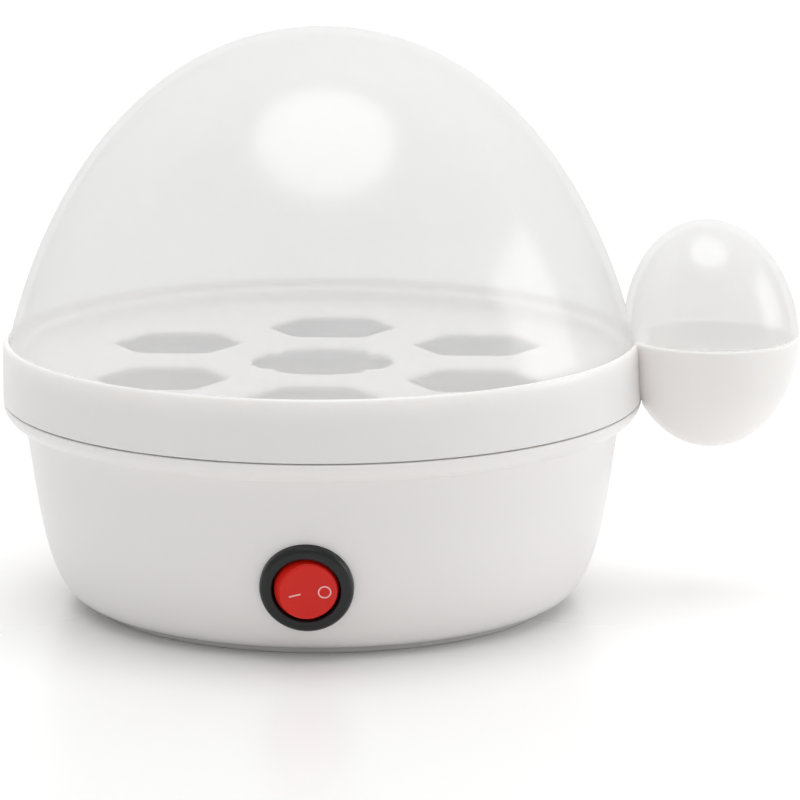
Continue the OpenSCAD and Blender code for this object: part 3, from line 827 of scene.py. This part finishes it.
def build_tray():
    """The tray: a perforated disc, a skirt that centres it in the basin, a band, and the cup at its side."""
    lip_r = LID_R + 0.35
    lip_mid, lip_round = lip_r + 0.6, 2.4
    skirt, skirt_foot, skirt_half = FLANGE_R - 9.3, 50.9, 0.9
    ring_z, seam = BASE_H + 0.05, 0.3
    ledge = LID_Z - 0.1
    bend_r, bend = 80.6, 2.6
    well_r, well_edge, band_in, step_r = 81.2, 0.7, 85.4, 83.2
    outline = (
        [(0, DISC_Z), (skirt - 3, DISC_Z)] + arc((skirt - 3, DISC_Z - 1.2), 1.2, 1.2, 90, 0)
        + arc((skirt - skirt_half, skirt_foot), skirt_half, skirt_half, 180, 360, 10)
        + [(skirt, DISC_Z - 0.01), (bend_r, DISC_Z)]
        + arc((bend_r, DISC_Z + bend), bend, bend, -80, 0) + [(step_r, ledge - 2.2), (band_in, ledge - 2)]
        + [(band_in, ring_z), (FLANGE_R - 1.1, ring_z), (FLANGE_R - 1.1, ring_z + seam)]
        + arc((FLANGE_R - 0.5, ring_z + seam + 0.5), 0.5, 0.5, -90, 0, 6)
        + arc((lip_mid, RING_TOP - lip_round), FLANGE_R - 0.05 - lip_mid, lip_round, 0, 90, 12)
        + arc((lip_mid, RING_TOP - 0.8), lip_mid - lip_r, 0.8, 100, 180, 6)
        + [(lip_r, ledge + 0.3), (lip_r - 0.3, ledge), (well_r + well_edge, ledge)]
        + arc((well_r + well_edge, ledge - well_edge), well_edge, well_edge, 90, 180)
        + arc((well_r - bend, DISC_TOP + bend), bend, bend, 0, -90, 8)
        + [(0, DISC_TOP)])
    tray = revolve("tray_shell", outline)
    cup_edge, cup_wall, below, above = 0.6, 2, 20, 90
    cup = revolve("cup", [(0, CUP_TOP)]
                  + arc((CUP_R - cup_edge, CUP_TOP - cup_edge), cup_edge, cup_edge, 90, 0)
                  + arc((0, CUP_TOP), CUP_R, CUP_DEEP, -3, -90, 40), TURN, (CUP_X, 0))
    band_low, band_r = ring_z + 0.45, FLANGE_R - 0.9
    clear_r = FLANGE_R + 0.4
    room = revolve("room", [(0, below), (clear_r, below), (clear_r, band_low), (band_r, band_low),
                            (band_r, above), (0, above)])
    combine(cup, room, "DIFFERENCE")
    combine(tray, cup, "UNION")
    bowl_r = CUP_R - cup_wall
    bowl_lip = bowl_r + cup_edge
    hollow = revolve("hollow", [(0, CUP_TOP + 2), (bowl_lip, CUP_TOP + 2)]
                     + arc((bowl_lip, CUP_TOP - cup_edge), cup_edge, cup_edge, 90, 180)
                     + arc((0, CUP_TOP), bowl_r, CUP_DEEP - cup_wall, -3, -90, 36), TURN, (CUP_X, 0))
    combine(hollow, cylinder("band_side", FLANGE_R + 1.9, below, above, TURN), "DIFFERENCE")
    combine(tray, hollow, "DIFFERENCE")
    middle, outer, edge = tabbed_circle(19.4, 2.6), rounded_hexagon(16.3, 4.6), 0.7
    holes = [flared_hole("hole", middle, DISC_Z, DISC_TOP, edge)]
    for x, y in around(6, PITCH_R, 30):
        holes.append(flared_hole("hole", [(x + px, y + py) for px, py in outer], DISC_Z, DISC_TOP, edge))
    combine(tray, join("holes", holes), "DIFFERENCE")
    return finish_piece(tray, "tray", "tray_plastic", ["egg_tray"])


# ---- Lid -------------------------------------------------------------------------------------

def lean(piece):
    """Leans the pod towards the dome, more with height."""
    for vertex in piece.data.vertices:
        vertex.co.x -= math.tan(POD_LEAN) * max(0.0, vertex.co.z - CUP_TOP * MM)
    return piece


def build_lid():
    """The clear dome with its pod, as one moulded shell."""
    edge, lip = 0.7, 0.6
    rise = LID_TOP - RING_TOP
    shoulder, crown_r = (LID_R - 9.6, RING_TOP + 0.47 * rise), 48.2
    dome = bezier((LID_R, RING_TOP), shoulder, (crown_r, LID_TOP), (0, LID_TOP), 56)
    lid = revolve("lid_shell", [(0, LID_Z)] + arc((LID_R - edge, LID_Z + edge), edge, edge, -90, 0) + dome)
    pod = ([(0, POD_Z)] + arc((CUP_R - edge, POD_Z + edge), edge, edge, -90, 0)
           + arc((0, CUP_TOP), CUP_R, POD_H, 4, 90, 44))
    combine(lid, lean(revolve("pod", pod, TURN, (CUP_X, 0))), "UNION")

    def mouth(radius, low):
        """The widening at the open end of a hollow, from its axis out."""
        return [(0, low - 2), (radius + lip, low - 2)] + arc((radius + lip, low + lip), lip, lip, -90, -180)

    inner = [p for p in inset(dome, LID_WALL) if p[0] > 1] + [(0, LID_TOP - LID_WALL)]
    combine(lid, revolve("dome_inside", mouth(LID_R - LID_WALL, LID_Z) + inner), "DIFFERENCE")
    pod_r = CUP_R - LID_WALL
    pod_inner = mouth(pod_r, POD_Z) + arc((0, CUP_TOP), pod_r, POD_H - LID_WALL, 5, 90, 40)
    combine(lid, lean(revolve("pod_inside", pod_inner, TURN, (CUP_X, 0))), "DIFFERENCE")
    return finish_piece(lid, "lid", "clear_plastic", ["lid"])


# ---- Pieces that stay as the frame has them --------------------------------------------------

def dress_frame():
    """Gives each node that is still the frame's own its finish."""
    slots = {s["node"]: s["material_slot"] for s in frame["record"]["subparts"]}
    for name, node in frame["nodes"].items():
        node.data.materials.clear()
        node.data.materials.append(MATERIALS[slots[name]])


add_camera()
add_world()
add_light("overhead", place=(0.13, -0.47, 4.97), target=(0.02, -0.03, 0), size=(4.2, 4.2), radiance=2.4,
          round_shape=True)
add_light("side", place=(1.0, 0.05, 0.34), target=(0.05, 0, 0.09), size=(0.5, 0.5), radiance=2.3)
add_floor()
build_base()
build_foot()
build_cover()
build_plate()
build_gland()
build_bezel()
build_rocker()
build_marks()
build_tray()
build_lid()
dress_frame()
bpy.context.scene.view_settings.view_transform = "Standard"
